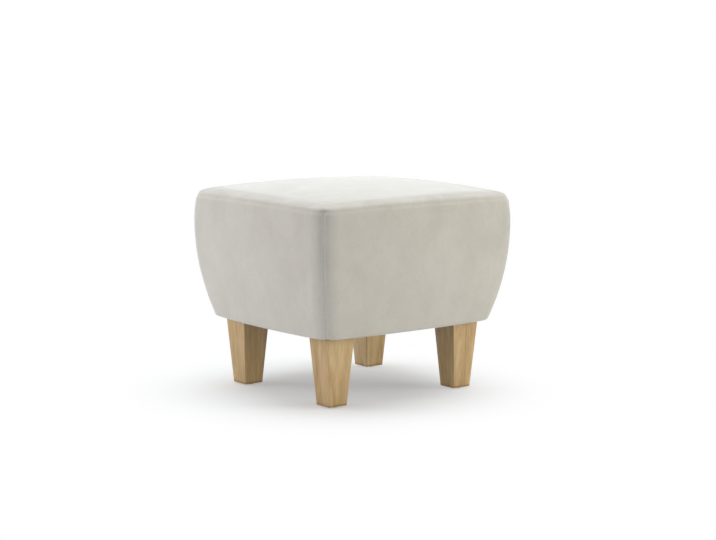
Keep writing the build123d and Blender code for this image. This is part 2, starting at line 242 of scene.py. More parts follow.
# Which finish each node shows, by the start of its name
NODE_SLOTS = {
    "leg_bolts": "zinc_steel",
    "leg_inserts": "zinc_steel",
    "leg_": "oak",
    "glide_nails": "zinc_steel",
    "glide_": "glide_plastic",
    "base_board": "plywood",
    "corner_post": "pine",
    "seat_rail": "pine",
    "rail_dowels": "beech",
    "side_panel": "hardboard",
    "seat_foam": "foam",
    "side_foam": "foam",
    "seat_wadding": "wadding",
    "spring_felt": "felt",
    "seat_spring": "spring_steel",
    "spring_clips": "zinc_steel",
    "clip_nails": "zinc_steel",
    "post_screws": "zinc_steel",
    "hem_staples": "zinc_steel",
}

# Camera, fitted to the photograph
CAMERA_PLACE = (-2.4015, -3.1364, 0.7999)
CAMERA_TURN = math.radians(-37.638)
CAMERA_RISE = math.radians(8.085)
CAMERA_ROLL = math.radians(0.127)
CAMERA_LENS = 98.37
CAMERA_SENSOR = 36.0
CAMERA_FAR = 400

# Floor, which turns from its own shade to plain white between two distances from a point
FLOOR_REACH = 120.0
FLOOR_COLOUR = (0.885, 0.90, 0.92, 1)
SHADE_MIDDLE = (-0.045, -0.005, 0)
WHITE_NEAR = 0.33
WHITE_FROM = 0.12
WHITE_BY = 0.50
PLAIN_WHITE = (1, 1, 1, 1)

# Lamps and sky
LAMP_DISTANCE = 4.5
LAMP_HEIGHT = 1.15
LAMP_TARGET = (0, 0, 0.27)
LAMP_SIZE = (2.6, 1.6)
LEFT_POWER = 80.0
LEFT_COLOUR = (1.0, 0.975, 0.985)
RIGHT_POWER = 99.0
RIGHT_COLOUR = (1.0, 0.985, 0.88)
TOP_PLACE = (0.2, 0.25, 2.5)
TOP_TARGET = (0, 0, 0.4)
TOP_SIZE = (2.2, 1.8)
TOP_POWER = 41
TOP_COLOUR = (0.95, 1.0, 1.05)
SKY_COLOUR = (1.0, 0.985, 0.935, 1)
SKY_LOW = 0.25
SKY_HIGH = 0.53


# Shape of the cover

def stand_in(level):
    """How far the body's side stands in from its widest level."""
    radius = np.where(level > WIDEST_LEVEL, UPPER_PROFILE_RADIUS, LOWER_PROFILE_RADIUS)
    return radius - np.sqrt(radius**2 - (level - WIDEST_LEVEL) ** 2)


def crown_level(along, out):
    """Height of the crowned top over a plan point."""
    return STOOL_HEIGHT - CROWN_RADIUS + np.sqrt(CROWN_RADIUS**2 - along**2 - out**2)


def seam_level(along, out):
    """Height of the top seam over a plan point."""
    return SEAM_CENTRE + np.sqrt(SEAM_CURVE_RADIUS**2 - along**2 - out**2)


def side_line(half_along, half_out, share):
    """One side of the plan outline, from corner middle to corner middle: points and outward normals."""
    bow_radius = ((half_along - SIDE_BOW) ** 2 + SIDE_BOW**2) / (2 * SIDE_BOW)
    next_radius = ((half_out - SIDE_BOW) ** 2 + SIDE_BOW**2) / (2 * SIDE_BOW)
    bow_centre = half_out - bow_radius
    next_centre = half_along - next_radius
    reach = np.hypot(bow_centre, next_centre)
    near = bow_radius - CORNER_RADIUS
    far = next_radius - CORNER_RADIUS
    foot = (reach**2 + near**2 - far**2) / (2 * reach)
    rise = np.sqrt(near**2 - foot**2)
    toward_along = next_centre / reach
    toward_out = -bow_centre / reach
    corner_along = foot * toward_along + rise * toward_out
    corner_out = bow_centre + foot * toward_out - rise * toward_along
    bow_angle = np.arctan2(corner_along, corner_out - bow_centre)
    next_angle = np.arctan2(corner_along - next_centre, corner_out)
    middle_angle = (bow_angle + next_angle) / 2
    bow_length = bow_radius * bow_angle
    length = 2 * (bow_length + CORNER_RADIUS * (middle_angle - bow_angle))
    distance = (share - 0.5) * length
    beyond = np.maximum(np.abs(distance) - bow_length, 0)
    on_bow = np.abs(distance) <= bow_length
    hand = np.sign(distance)
    angle = np.where(on_bow, distance / bow_radius, hand * (bow_angle + beyond / CORNER_RADIUS))
    radius = np.where(on_bow, bow_radius, CORNER_RADIUS)
    normal_along = np.sin(angle)
    normal_out = np.cos(angle)
    along = np.where(on_bow, 0, hand * corner_along) + radius * normal_along
    out = np.where(on_bow, bow_centre, corner_out) + radius * normal_out
    return along, out, normal_along, normal_out


def half_sizes(side):
    """Half the body's length along a side, and half its size across."""
    if side in ("front", "rear"):
        return BODY_WIDTH / 2, BODY_DEPTH / 2
    return BODY_DEPTH / 2, BODY_WIDTH / 2


def side_columns(side):
    """Shares along a side at which the mesh has its columns."""
    count = WIDE_COLUMNS if side in ("front", "rear") else DEEP_COLUMNS
    return np.linspace(0, 1, count + 1)


def placed(side, along, out, level):
    """Points of a side turned into the stool's frame."""
    turn = SIDE_TURNS[side] * math.pi / 2
    x = along * math.cos(turn) + out * math.sin(turn)
    y = along * math.sin(turn) - out * math.cos(turn)
    return np.stack([x, y, level + np.zeros_like(x)], axis=-1)


def seam_line(side, share):
    """Plan line of the top seam without its roll, its normals and its height."""
    half_along, half_out = half_sizes(side)
    level = SEAM_LEVEL
    for _ in range(SEAM_PASSES):
        inset = stand_in(level)
        along, out, normal_along, normal_out = side_line(half_along - inset, half_out - inset, share)
        level = seam_level(along, out)
    return along, out, normal_along, normal_out, level


def roll_height(along, out, level):
    """Share of the rolled top edge's drop that a height has come up."""
    return np.clip(1 - (crown_level(along, out) - level) / EDGE_DROP, 0, 1)


def side_rows(length):
    """Distances down a side panel at which the mesh has its rows."""
    first = SEAM_ROWS[-1]
    count = int(round((length - first) / ROW_STEP))
    return np.concatenate([SEAM_ROWS[:-1], np.linspace(first, length, count + 1)])


def side_surface(side):
    """Rows of points down one side panel, from the seam round the bottom edge to the hem."""
    share = side_columns(side)
    half_along, half_out = half_sizes(side)
    top = seam_line(side, share)[4]
    edge = UNDERSIDE_LEVEL + BOTTOM_EDGE_RADIUS
    for _ in range(EDGE_PASSES):
        lean = (WIDEST_LEVEL - edge) / LOWER_PROFILE_RADIUS
        edge = UNDERSIDE_LEVEL + BOTTOM_EDGE_RADIUS * (1 - lean)
    rows = []
    drops = side_rows(SEAM_LEVEL - edge)
    for drop in drops:
        level = top - (top - edge) * drop / drops[-1]
        inset = stand_in(level)
        along, out, normal_along, normal_out = side_line(half_along - inset, half_out - inset, share)
        inward = EDGE_REACH * (1 - np.sqrt(1 - roll_height(along, out, level) ** 2))
        rows.append(placed(side, along - inward * normal_along, out - inward * normal_out, level))
    first_angle = math.asin(lean)
    for angle in np.linspace(first_angle, math.pi / 2, ROUND_ROWS + 1)[1:]:
        inward = BOTTOM_EDGE_RADIUS * (math.cos(first_angle) - math.cos(angle))
        level = UNDERSIDE_LEVEL + BOTTOM_EDGE_RADIUS * (1 - math.sin(angle))
        last_along = along - inward * normal_along
        last_out = out - inward * normal_out
        rows.append(placed(side, last_along, last_out, level))
    hem_along, hem_out = (HEM_X, HEM_Y) if side in ("front", "rear") else (HEM_Y, HEM_X)
    hem_place = (2 * share - 1) * hem_along
    for part in np.linspace(0, 1, HEM_ROWS + 1)[1:]:
        under_along = last_along + (hem_place - last_along) * part
        under_out = last_out + (hem_out - last_out) * part
        rows.append(placed(side, under_along, under_out, UNDERSIDE_LEVEL))
    return np.array(rows)


def roll_angles(first):
    """Angles round the rolled top edge, for rings at set distances from the seam, per column."""
    part = np.linspace(0, 1, ROLL_STEPS)[:, None]
    angle = first + (math.pi / 2 - first) * part
    inward = EDGE_REACH * np.diff(np.cos(angle), axis=0)
    upward = EDGE_DROP * np.diff(np.sin(angle), axis=0)
    run = np.concatenate([np.zeros((1, len(first))), np.cumsum(np.hypot(inward, upward), axis=0)])
    beyond = np.linspace(0, 1, RING_ROWS + 1)[1:, None]
    near = np.array(SEAM_ROWS)[:, None] + 0 * first
    wanted = np.concatenate([near, SEAM_ROWS[-1] + (run[-1] - SEAM_ROWS[-1]) * beyond])
    columns = [np.interp(wanted[:, k], run[:, k], angle[:, k]) for k in range(len(first))]
    return np.array(columns).T


def top_rings():
    """Closed rings of points over the rolled edge of the top panel, from the seam inwards."""
    loops = [[] for _ in range(len(SEAM_ROWS) + RING_ROWS)]
    for side in SIDE_TURNS:
        share = side_columns(side)[:-1]
        along, out, normal_along, normal_out, level = seam_line(side, share)
        first = np.arcsin(roll_height(along, out, level))
        for index, angle in enumerate(roll_angles(first)):
            inward = EDGE_REACH * (1 - np.cos(angle))
            ring_along = along - inward * normal_along
            ring_out = out - inward * normal_out
            height = crown_level(ring_along, ring_out) - EDGE_DROP * (1 - np.sin(angle))
            loops[index].append(placed(side, ring_along, ring_out, height))
    return np.array([np.concatenate(loop) for loop in loops])


def top_surface():
    """Points of the top panel as rings in from the seam and a grid inside them, with the faces."""
    rings = top_rings()
    count = rings.shape[1]
    faces = []
    for row in range(len(rings) - 1):
        for column in range(count):
            following = (column + 1) % count
            low = row * count
            high = low + count
            faces.append((low + column, low + following, high + following, high + column))
    last = (len(rings) - 1) * count
    wide, deep = WIDE_COLUMNS, DEEP_COLUMNS
    index = np.zeros((wide + 1, deep + 1), dtype=int)
    index[:, 0] = last + np.arange(wide + 1)
    index[wide, :] = last + wide + np.arange(deep + 1)
    index[::-1, deep] = last + wide + deep + np.arange(wide + 1)
    index[0, 1:] = last + 2 * wide + deep + np.arange(deep)[::-1]
    ring = rings[-1]
    front = ring[: wide + 1]
    right = ring[wide : wide + deep + 1]
    rear = ring[wide + deep : 2 * wide + deep + 1][::-1]
    left = np.concatenate([ring[2 * wide + deep :], ring[:1]])[::-1]
    u = np.linspace(0, 1, wide + 1)[1:-1, None, None]
    v = np.linspace(0, 1, deep + 1)[None, 1:-1, None]
    grid = (
        (1 - v) * front[1:-1, None] + v * rear[1:-1, None]
        + (1 - u) * left[None, 1:-1] + u * right[None, 1:-1]
        - (1 - u) * (1 - v) * front[0] - u * (1 - v) * front[-1]
        - (1 - u) * v * rear[0] - u * v * rear[-1]
    )
    grid[..., 2] = crown_level(grid[..., 0], grid[..., 1])
    index[1:-1, 1:-1] = rings[..., 0].size + np.arange((wide - 1) * (deep - 1)).reshape(wide - 1, deep - 1)
    for i in range(wide):
        for j in range(deep):
            faces.append((index[i, j], index[i + 1, j], index[i + 1, j + 1], index[i, j + 1]))
    return np.concatenate([rings.reshape(-1, 3), grid.reshape(-1, 3)]), faces, rings


# Meshes

def mesh_object(name, points, faces):
    """A smooth-shaded mesh object."""
    mesh = bpy.data.meshes.new(name)
    mesh.from_pydata([tuple(point) for point in points], [], [tuple(map(int, face)) for face in faces])
    mesh.update()
    mesh.shade_smooth()
    piece = bpy.data.objects.new(name, mesh)
    bpy.context.scene.collection.objects.link(piece)
    return piece


def grid_faces(rows, columns):
    """Faces of a grid of points, seen from outside with the first row on top."""
    return [
        (row * columns + column, (row + 1) * columns + column,
         (row + 1) * columns + column + 1, row * columns + column + 1)
        for row in range(rows - 1)
        for column in range(columns - 1)
    ]


def normals_of(piece):
    """Vertex normals of a mesh."""
    found = np.zeros(len(piece.data.vertices) * 3)
    piece.data.vertex_normals.foreach_get("vector", found)
    return found.reshape(-1, 3)


def points_of(piece):
    """Vertex places of a mesh."""
    found = np.zeros(len(piece.data.vertices) * 3)
    piece.data.vertices.foreach_get("co", found)
    return found.reshape(-1, 3)


def move_points(piece, points):
    """Give a mesh new vertex places."""
    piece.data.vertices.foreach_set("co", points.reshape(-1))
    piece.data.update()


def thicken(piece, thickness):
    """Give a sheet its thickness on the inside."""
    solidify = piece.modifiers.new("Thickness", "SOLIDIFY")
    solidify.thickness = thickness
    solidify.offset = -1
    solidify.use_even_offset = False


# Sewing and swelling of the cover

def eased(value):
    """A value held between 0 and 1, with a soft start and end."""
    part = np.clip(value, 0, 1)
    return part * part * (3 - 2 * part)


def groove(distance, depth, width):
    """Depth of a sewn groove at a distance from its line."""
    return depth * np.cos(math.pi / 2 * np.clip(distance / width, 0, 1)) ** 2


def allowance(distance):
    """Low rounded band where the seam allowances lie under the velvet."""
    part = np.clip((distance - ALLOWANCE_START) / ALLOWANCE_WIDTH, 0, 1)
    return ALLOWANCE_RISE * np.sin(math.pi * part) ** ALLOWANCE_ROUNDNESS


def corner_band(distance):
    """Flattening of the round corner over the band that the seam allowances stiffen."""
    return (CORNER_BAND_HALF**2 - np.minimum(distance, CORNER_BAND_HALF) ** 2) / (2 * CORNER_RADIUS)


def pucker_noise(points):
    """Uneven small puckers along the seams, longer upwards than along."""
    scale = 1 / PUCKER_LENGTH
    upright = scale * PUCKER_UPRIGHT
    return np.array(
        [noise.noise(Vector((x * scale, y * scale, PUCKER_PLACE + z * upright))) for x, y, z in points]
    )


def puckers(small, distance):
    """Puckers that start beside a seam and fade away from it."""
    return PUCKER_DEPTH * small * np.exp(-distance / PUCKER_FADE) * np.clip(distance / PUCKER_CLEAR, 0, 1)


def seam_distances(points):
    """Distances over a side panel from its top seam and from its nearer corner seam."""
    down = np.linalg.norm(np.diff(points, axis=0), axis=-1)
    from_top = np.concatenate([np.zeros((1, points.shape[1])), np.cumsum(down, axis=0)])
    across = np.linalg.norm(np.diff(points, axis=1), axis=-1)
    from_left = np.concatenate([np.zeros((points.shape[0], 1)), np.cumsum(across, axis=1)], axis=1)
    return from_top, np.minimum(from_left, from_left[:, -1:] - from_left)


def ring_distances(points, rings):
    """Distances over the top panel from its seam, large inside the rings."""
    inward = np.linalg.norm(np.diff(rings, axis=0), axis=-1)
    run = np.concatenate([np.zeros((1, rings.shape[1])), np.cumsum(inward, axis=0)])
    found = np.full(len(points), FAR_FROM_SEAM)
    found[: run.size] = run.reshape(-1)
    return found


def corner_normals(side):
    """Level normals at the two corner seams of a side, which its neighbours share."""
    half_along, half_out = half_sizes(side)
    _, _, normal_along, normal_out = side_line(half_along, half_out, np.array([0.0, 1.0]))
    return placed(side, normal_along, normal_out, 0.0)


def sew_side(piece, side, shape):
    """Press the top and corner seams into a side panel."""
    points = points_of(piece).reshape(shape)
    normals = normals_of(piece).reshape(shape)
    normals[:, [0, -1]] = corner_normals(side)
    from_top, from_corner = seam_distances(points)
    from_meeting = np.hypot(from_corner, from_top * PINCH_TOP_SHARE)
    small = pucker_noise(points.reshape(-1, 3)).reshape(shape[:2])
    lift = -groove(from_top, TOP_SEAM_DEPTH, TOP_SEAM_WIDTH)
    lift -= groove(from_corner, CORNER_SEAM_DEPTH, CORNER_SEAM_WIDTH)
    lift -= corner_band(from_corner)
    lift -= groove(from_meeting, CORNER_PINCH, PINCH_WIDTH)
    lift += allowance(from_top)
    lift += puckers(small, from_top)
    lift += CORNER_PUCKER * puckers(small, from_corner)
    move_points(piece, (points + normals * lift[..., None]).reshape(-1, 3))


def sew_top(piece, rings, seam):
    """Pull the edge of the top panel onto the seam that it shares with the side panels."""
    points = points_of(piece)
    from_seam = ring_distances(points, rings)
    lift = puckers(pucker_noise(points), from_seam)
    points += normals_of(piece) * lift[:, None]
    pull = seam - points[: len(seam)]
    count = rings.shape[0] * rings.shape[1]
    share = groove(from_seam[:count].reshape(rings.shape[:2]), 1.0, TOP_SEAM_WIDTH)
    points[:count] += (share[..., None] * pull[None]).reshape(-1, 3)
    move_points(piece, points)


def settle(piece, from_seams):
    """Let a panel swell as cloth under the push of its filling, held along its seams."""
    target = points_of(piece)
    free = eased(from_seams / SWELL_MARGIN)
    hold = piece.vertex_groups.new(name="held")
    hold.add(list(range(len(target))), SWELL_HOLD, "REPLACE")
    hold.add([int(index) for index in np.flatnonzero(from_seams < SWELL_PINNED)], 1.0, "REPLACE")
    move_points(piece, target - normals_of(piece) * (SWELL_START * free)[:, None])
    cloth = piece.modifiers.new("Cloth", "CLOTH")
    for name, value in CLOTH_SETTINGS.items():
        setattr(cloth.settings, name, value)
    cloth.settings.vertex_group_mass = "held"
    cloth.settings.effector_weights.gravity = 0
    cloth.collision_settings.use_collision = False
    cloth.collision_settings.use_self_collision = False
    cloth.point_cache.frame_start = 1
    cloth.point_cache.frame_end = SWELL_FRAMES
    scene = bpy.context.scene
    for step in range(1, SWELL_FRAMES + 1):
        scene.frame_set(step)
    graph = bpy.context.evaluated_depsgraph_get()
    settled = points_of(piece.evaluated_get(graph))
    scene.frame_set(1)
    piece.modifiers.remove(cloth)
    piece.vertex_groups.clear()
    shift = (settled - target) * free[:, None]
    length = np.linalg.norm(shift, axis=1)
    shift *= np.minimum(1, SWELL_CAP / np.maximum(length, LEAST_SHIFT))[:, None]
    move_points(piece, target + shift)


# Material nodes

def start_material(name, **sockets):
    """A material with one Principled shader and its fixed socket values."""
    material = bpy.data.materials.new(name)
    material.use_nodes = True
    tree = material.node_tree
    shader = tree.nodes["Principled BSDF"]
    for socket, value in sockets.items():
        shader.inputs[socket.replace("_", " ")].default_value = value
    return material, tree, shader


def add_node(tree, kind, sockets=None, **settings):
    """A node with its settings and fixed socket values."""
    node = tree.nodes.new(kind)
    for name, value in settings.items():
        setattr(node, name, value)
    for name, value in (sockets or {}).items():
        node.inputs[name].default_value = value
    return node


def object_place(tree, stretch=(1, 1, 1)):
    """Place on the object in metres, stretched along its axes."""
    coordinate = add_node(tree, "ShaderNodeTexCoord")
    mapping = add_node(tree, "ShaderNodeMapping", {"Scale": stretch})
    tree.links.new(coordinate.outputs["Object"], mapping.inputs["Vector"])
    return mapping.outputs["Vector"]


def noise_at(tree, place, scale, detail=2.0, roughness=0.5, distortion=0.0):
    """A noise value."""
    sockets = {"Scale": scale, "Detail": detail, "Roughness": roughness, "Distortion": distortion}
    node = add_node(tree, "ShaderNodeTexNoise", sockets)
    tree.links.new(place, node.inputs["Vector"])
    return node.outputs["Fac"]


def math_of(tree, operation, first, second):
    """Two values joined by arithmetic."""
    node = add_node(tree, "ShaderNodeMath", operation=operation)
    for socket, value in zip(node.inputs, (first, second)):
        if isinstance(value, (int, float)):
            socket.default_value = value
        else:
            tree.links.new(value, socket)
    return node.outputs["Value"]


def weighed(tree, *parts):
    """Sum of values, each times its weight."""
    total = None
    for value, weight in parts:
        share = math_of(tree, "MULTIPLY", value, weight)
        total = share if total is None else math_of(tree, "ADD", total, share)
    return total


def axis_of(tree, vector, axis):
    """One part of a vector."""
    node = add_node(tree, "ShaderNodeSeparateXYZ")
    tree.links.new(vector, node.inputs["Vector"])
    return node.outputs[axis]


def ramp_of(tree, value, places, colours):
    """Colour along a ramp with a colour at each place."""
    node = add_node(tree, "ShaderNodeValToRGB")
    elements = node.color_ramp.elements
    while len(elements) < len(places):
        elements.new(0.5)
    for element, place, colour in zip(elements, places, colours):
        element.position = place
        element.color = colour
    tree.links.new(value, node.inputs["Fac"])
    return node.outputs["Color"]


def range_of(tree, value, low, high):
    """A value spread from 0..1 to low..high."""
    node = add_node(tree, "ShaderNodeMapRange", {"To Min": low, "To Max": high})
    tree.links.new(value, node.inputs["Value"])
    return node.outputs["Result"]


def edge_share(tree):
    """0 on flat parts, and more than 0 beside sharp edges."""
    bevel = add_node(tree, "ShaderNodeBevel", {"Radius": EDGE_RADIUS}, samples=EDGE_SAMPLES)
    geometry = add_node(tree, "ShaderNodeNewGeometry")
    along = add_node(tree, "ShaderNodeVectorMath", operation="DOT_PRODUCT")
    tree.links.new(bevel.outputs["Normal"], along.inputs[0])
    tree.links.new(geometry.outputs["Normal"], along.inputs[1])
    return math_of(tree, "SUBTRACT", 1.0, along.outputs["Value"])


def finish_shader(tree, shader, colour, rough, height, strength, distance):
    """Link a colour, a roughness, and a bump from a height, to a shader."""
    bump = add_node(tree, "ShaderNodeBump", {"Strength": strength, "Distance": distance})
    tree.links.new(height, bump.inputs["Height"])
    tree.links.new(bump.outputs["Normal"], shader.inputs["Normal"])
    tree.links.new(colour, shader.inputs["Base Color"])
    tree.links.new(rough, shader.inputs["Roughness"])


# Materials

def velvet_material(name):
    """Short-pile velvet with a brushed nap, and painted light: faces turned to the left are lighter, faces
    turned to the right darker.
    """
    material, tree, shader = start_material(
        name, Specular_IOR_Level=VELVET_GLOSS,
        Sheen_Weight=1.0, Sheen_Roughness=SHEEN_ROUGHNESS, Sheen_Tint=SHEEN_COLOUR,
    )
    place = object_place(tree)
    strokes = object_place(tree, (1, 1, NAP_STRETCH))
    broad = noise_at(tree, strokes, BROAD_SCALE, detail=2, distortion=0.3)
    patches = noise_at(tree, strokes, PATCH_SCALE, detail=3, roughness=0.55, distortion=0.8)
    small = noise_at(tree, place, SMALL_SCALE, detail=3, roughness=0.6)
    pile = noise_at(tree, place, PILE_SCALE, detail=2, roughness=0.6)
    smudges = noise_at(tree, place, SMUDGE_SCALE, detail=3, roughness=0.55, distortion=0.6)
    facing = add_node(tree, "ShaderNodeTexCoord").outputs["Normal"]
    upward = axis_of(tree, facing, "Z")
    tone = weighed(
        tree,
        (broad, BROAD_WEIGHT), (patches, PATCH_WEIGHT), (small, SMALL_WEIGHT), (pile, PILE_WEIGHT),
        # Painted light: faces turned to the left lighter, faces turned to the right darker
        (axis_of(tree, facing, "X"), PAINTED_LEFT_LIGHT),
        (math_of(tree, "MULTIPLY", math_of(tree, "SUBTRACT", smudges, 0.5), upward), SMUDGE_WEIGHT),
        (VELVET_SHIFT, 1.0),
    )
    colour = ramp_of(tree, tone, VELVET_STOPS, (VELVET_DARK, VELVET_MIDDLE, VELVET_LIGHT))
    rough = range_of(tree, pile, *VELVET_ROUGHNESS)
    height = weighed(tree, (pile, PILE_RELIEF), (small, SMALL_RELIEF))
    finish_shader(tree, shader, colour, rough, height, VELVET_BUMP, VELVET_BUMP_DEPTH)
    return material


def wood_material(name, colours, stretch, band_scale, roughness, foot_dark=0.0):
    """Wood with stretched fibres, broad growth bands, fine pores, edges lightened by wear and by a painted
    highlight, and a dark foot.
    """
    material, tree, shader = start_material(name, Specular_IOR_Level=WOOD_GLOSS)
    along = object_place(tree, stretch)
    fibres = noise_at(tree, along, band_scale * FIBRE_FINENESS, detail=5, roughness=0.6, distortion=0.2)
    bands = noise_at(tree, along, band_scale, detail=3, distortion=1.2)
    pores = noise_at(tree, along, band_scale * PORE_FINENESS, detail=2)
    tone = weighed(
        tree, (bands, BAND_WEIGHT), (fibres, FIBRE_WEIGHT), (pores, PORE_WEIGHT),
        # Edges lightened partly as wear and partly as a painted highlight
        (edge_share(tree), EDGE_WEAR_AND_HIGHLIGHT),
    )
    # Darker towards the bottom of the leg, over its lowest few millimetres
    if foot_dark:
        height = axis_of(tree, object_place(tree), "Z")
        above = math_of(tree, "MINIMUM", math_of(tree, "DIVIDE", height, FOOT_DARK_REACH), 1.0)
        tone = weighed(tree, (tone, 1.0), (math_of(tree, "SUBTRACT", above, 1.0), foot_dark))
    colour = ramp_of(tree, tone, WOOD_STOPS, colours)
    rough = range_of(tree, fibres, roughness + WOOD_ROUGHER, roughness - WOOD_SMOOTHER)
    relief = weighed(tree, (fibres, FIBRE_RELIEF), (pores, PORE_RELIEF))
    finish_shader(tree, shader, colour, rough, relief, WOOD_BUMP, WOOD_BUMP_DEPTH)
    return material


def soft_material(name, colours, scale, bump_depth, sheen=0.0):
    """Foam, felt, wadding or non-woven cloth: a mottled, matt surface."""
    material, tree, shader = start_material(name, Specular_IOR_Level=SOFT_GLOSS, Sheen_Weight=sheen)
    place = object_place(tree)
    fine = noise_at(tree, place, scale, detail=4, roughness=0.65, distortion=0.4)
    mottle = noise_at(tree, place, scale / SOFT_MOTTLE_SIZE)
    tone = weighed(tree, (fine, SOFT_FINE_WEIGHT), (mottle, SOFT_MOTTLE_WEIGHT))
    colour = ramp_of(tree, tone, SOFT_STOPS, colours)
    rough = range_of(tree, fine, *SOFT_ROUGHNESS)
    finish_shader(tree, shader, colour, rough, fine, SOFT_BUMP, bump_depth)
    return material


def metal_material(name, colours, roughness, metallic):
    """Plated or lacquered steel with faint marks."""
    material, tree, shader = start_material(name, Metallic=metallic)
    place = object_place(tree)
    marks = noise_at(tree, place, MARK_SCALE, detail=4, roughness=0.6)
    cloud = noise_at(tree, place, CLOUD_SCALE)
    # Edges lightened partly as wear and partly as a painted highlight
    tone = weighed(tree, (marks, MARK_WEIGHT), (cloud, CLOUD_WEIGHT), (edge_share(tree), EDGE_WEAR_AND_HIGHLIGHT))
    colour = ramp_of(tree, tone, METAL_STOPS, colours)
    rough = range_of(tree, marks, roughness - METAL_SMOOTHER, roughness + METAL_ROUGHER)
    finish_shader(tree, shader, colour, rough, marks, METAL_BUMP, METAL_BUMP_DEPTH)
    return material


def plastic_material(name, colours):
    """Moulded plastic with a fine grained skin."""
    material, tree, shader = start_material(name, Specular_IOR_Level=PLASTIC_GLOSS)
    place = object_place(tree)
    grain = noise_at(tree, place, GRAIN_SCALE)
    scuff = noise_at(tree, place, SCUFF_SCALE, detail=4, roughness=0.7)
    # Edges lightened partly as wear and partly as a painted highlight
    tone = weighed(tree, (grain, GRAIN_WEIGHT), (scuff, SCUFF_WEIGHT), (edge_share(tree), EDGE_WEAR_AND_HIGHLIGHT))
    colour = ramp_of(tree, tone, PLASTIC_STOPS, colours)
    rough = range_of(tree, scuff, *PLASTIC_ROUGHNESS)
    finish_shader(tree, shader, colour, rough, grain, PLASTIC_BUMP, PLASTIC_BUMP_DEPTH)
    return material


MATERIALS = {
    "velvet": velvet_material("velvet"),
    "oak": wood_material(
        "oak", (srgb(158, 126, 84), srgb(194, 163, 117), srgb(213, 187, 144)),
        stretch=GRAIN_UP, band_scale=42, roughness=0.42, foot_dark=FOOT_DARK,
    ),
    "plywood": wood_material(
        "plywood", (srgb(178, 142, 96), srgb(200, 166, 118), srgb(216, 188, 146)),
        stretch=GRAIN_PLIES, band_scale=24, roughness=0.7,
    ),
    "pine": wood_material(
        "pine", (srgb(196, 158, 100), srgb(218, 184, 128), srgb(232, 204, 156)),
        stretch=GRAIN_ACROSS, band_scale=34, roughness=0.65,
    ),
    "beech": wood_material(
        "beech", (srgb(186, 140, 96), srgb(204, 160, 116), srgb(216, 178, 136)),
        stretch=GRAIN_ACROSS, band_scale=70, roughness=0.6,
    ),
    "hardboard": wood_material(
        "hardboard", (srgb(92, 62, 38), srgb(112, 78, 50), srgb(132, 96, 66)),
        stretch=GRAIN_EVEN, band_scale=90, roughness=0.7,
    ),
    "foam": soft_material(
        "foam", (srgb(222, 214, 178), srgb(242, 236, 206)), scale=700, bump_depth=0.0010
    ),
    "wadding": soft_material(
        "wadding", (srgb(228, 228, 224), srgb(250, 250, 248)), scale=260, bump_depth=0.0012, sheen=0.3
    ),
    "felt": soft_material(
        "felt", (srgb(92, 92, 90), srgb(140, 139, 136)), scale=420, bump_depth=0.0008, sheen=0.2
    ),
    "dust_cloth": soft_material(
        "dust_cloth", (srgb(18, 18, 19), srgb(44, 44, 45)), scale=900, bump_depth=0.0003
    ),
    "zinc_steel": metal_material(
        "zinc_steel", (srgb(150, 150, 148), srgb(200, 201, 200)), roughness=0.34, metallic=1.0
    ),
    "spring_steel": metal_material(
        "spring_steel", (srgb(16, 16, 17), srgb(44, 44, 46)), roughness=0.4, metallic=0.4
    ),
    "glide_plastic": plastic_material("glide_plastic", (srgb(24, 22, 20), srgb(52, 48, 44))),
}


# Pieces

def slot_of(node):
    """Finish of a node."""
    for start, slot in NODE_SLOTS.items():
        if node.startswith(start):
            return slot
    raise ValueError(node)


def finish_piece(piece, slot, *nodes):
    """Material, body and replaced solids of a modelled piece."""
    piece.data.materials.clear()
    piece.data.materials.append(MATERIALS[slot])
    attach(piece, "root")
    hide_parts(*nodes)


def make_covers():
    """The five velvet panels of the cover."""
    panels = []
    seam = []
    for side in SIDE_TURNS:
        surface = side_surface(side)
        piece = mesh_object(f"velvet_{side}", surface.reshape(-1, 3), grid_faces(*surface.shape[:2]))
        from_top, from_corner = seam_distances(surface)
        from_hem = from_top[-HEM_ROWS - ROUND_ROWS] - from_top
        nearest = np.minimum(np.minimum(from_top, from_corner), from_hem)
        settle(piece, np.clip(nearest, 0, None).reshape(-1))
        sew_side(piece, side, surface.shape)
        seam.append(points_of(piece)[: surface.shape[1] - 1])
        thicken(piece, COVER_THICKNESS)
        finish_piece(piece, "velvet", f"cover_{side}")
        panels.append(piece)
    points, faces, rings = top_surface()
    piece = mesh_object("velvet_top", points, faces)
    settle(piece, ring_distances(points, rings))
    sew_top(piece, rings, np.concatenate(seam))
    thicken(piece, COVER_THICKNESS)
    finish_piece(piece, "velvet", "cover_top")
    panels.append(piece)
    return panels


def cover_tree(panels):
    """Search tree over the outer faces of the cover."""
    points = []
    faces = []
    for panel in panels:
        start = len(points)
        points.extend(vertex.co.copy() for vertex in panel.data.vertices)
        faces.extend([start + index for index in face.vertices] for face in panel.data.polygons)
    return BVHTree.FromPolygons(points, faces)


def make_pads(tree):
    """The foams, wadding and felt as soft pieces, eased in to lie under the cover."""
    for node in PAD_NODES:
        mesh = bpy.data.objects[node].data.copy()
        piece = bpy.data.objects.new(f"soft_{node}", mesh)
        bpy.context.scene.collection.objects.link(piece)
        remesh = piece.modifiers.new("Remesh", "REMESH")
        remesh.mode = "VOXEL"
        remesh.voxel_size = PAD_VOXEL
        remesh.use_smooth_shade = True
        graph = bpy.context.evaluated_depsgraph_get()
        piece.data = bpy.data.meshes.new_from_object(piece.evaluated_get(graph))
        piece.modifiers.clear()
        points = points_of(piece)
        for index, point in enumerate(points):
            place, normal, _, _ = tree.find_nearest(Vector(point))
            depth = (place - Vector(point)).dot(normal)
            if depth < PAD_DEPTH:
                points[index] -= np.array(normal) * (PAD_DEPTH - depth)
        move_points(piece, points)
        finish_piece(piece, slot_of(node), node)


